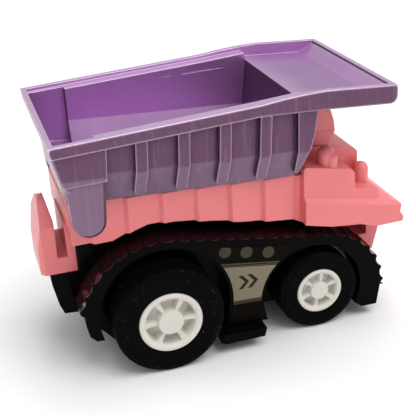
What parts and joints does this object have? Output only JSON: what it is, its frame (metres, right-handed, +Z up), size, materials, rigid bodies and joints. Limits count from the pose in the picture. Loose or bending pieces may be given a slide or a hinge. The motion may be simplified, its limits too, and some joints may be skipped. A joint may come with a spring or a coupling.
{
  "type": "pull-back toy dump truck",
  "caption": "Toy mining dump truck with a tipping hopper bed, big rubber tyres, tread-shaped mudguards and a pull-back spring motor geared to the rear axle.",
  "frame": {"origin": "bottom centre of the bounding box, on the ground between the wheels", "axes": "+X forward along the truck, +Y to its left, +Z up"},
  "size_m": [0.0909, 0.0472, 0.0658],
  "materials": {
    "plum_metal": "metallic lacquer",
    "pink_plastic": "satin",
    "black_plastic": "gloss",
    "tyre": "matt",
    "hub_plastic": "satin",
    "label": "printed",
    "steel": "plain",
    "spring_steel": "blued",
    "motor_plastic": "natural",
    "gear_plastic": "natural"
  },
  "bodies": {
    "truck": {"body_shell": "pink_plastic", "chassis": "black_plastic", "base_plate": "black_plastic", "shell_screws": "steel", "base_screws": "steel", "right_label": "label", "left_label": "label", "hinge_pins": "steel", "motor_case": "motor_plastic", "motor_cover": "motor_plastic", "transfer_pin": "steel"},
    "bed": {"dump_bed": "plum_metal"},
    "rear_wheelset": {"rear_axle": "steel", "rear_right_tyre": "tyre", "rear_left_tyre": "tyre", "rear_right_hub": "hub_plastic", "rear_left_hub": "hub_plastic", "axle_pinion": "gear_plastic"},
    "front_wheelset": {"front_axle": "steel", "front_right_tyre": "tyre", "front_left_tyre": "tyre", "front_right_hub": "hub_plastic", "front_left_hub": "hub_plastic"},
    "transfer": {"transfer_gear": "gear_plastic"},
    "winder": {"winder_gear": "gear_plastic", "spring_arbor": "steel", "mainspring": "spring_steel"}
  },
  "joints": [
    {"name": "bed_tip", "type": "hinge", "parent": "truck", "child": "bed", "pos_m": [-0.0343, 0, 0.0425], "axis": [0, -1, 0], "range_deg": [0, 45]},
    {"name": "rear_axle_spin", "type": "hinge", "parent": "truck", "child": "rear_wheelset", "pos_m": [-0.018, 0, 0.0136], "axis": [0, 1, 0], "continuous": true},
    {"name": "front_axle_spin", "type": "hinge", "parent": "truck", "child": "front_wheelset", "pos_m": [0.0227, 0, 0.01065], "axis": [0, 1, 0], "continuous": true},
    {"name": "transfer_spin", "type": "hinge", "parent": "truck", "child": "transfer", "pos_m": [-0.01064, 0, 0.01785], "axis": [0, 1, 0], "continuous": true},
    {"name": "winder_spin", "type": "hinge", "parent": "truck", "child": "winder", "pos_m": [-0.00265, 0, 0.01494], "axis": [0, 1, 0], "continuous": true}
  ],
  "couplings": [
    {"joint": "transfer_spin", "follows": "rear_axle_spin", "ratio": -0.41667},
    {"joint": "winder_spin", "follows": "rear_axle_spin", "ratio": 0.17361}
  ]
}
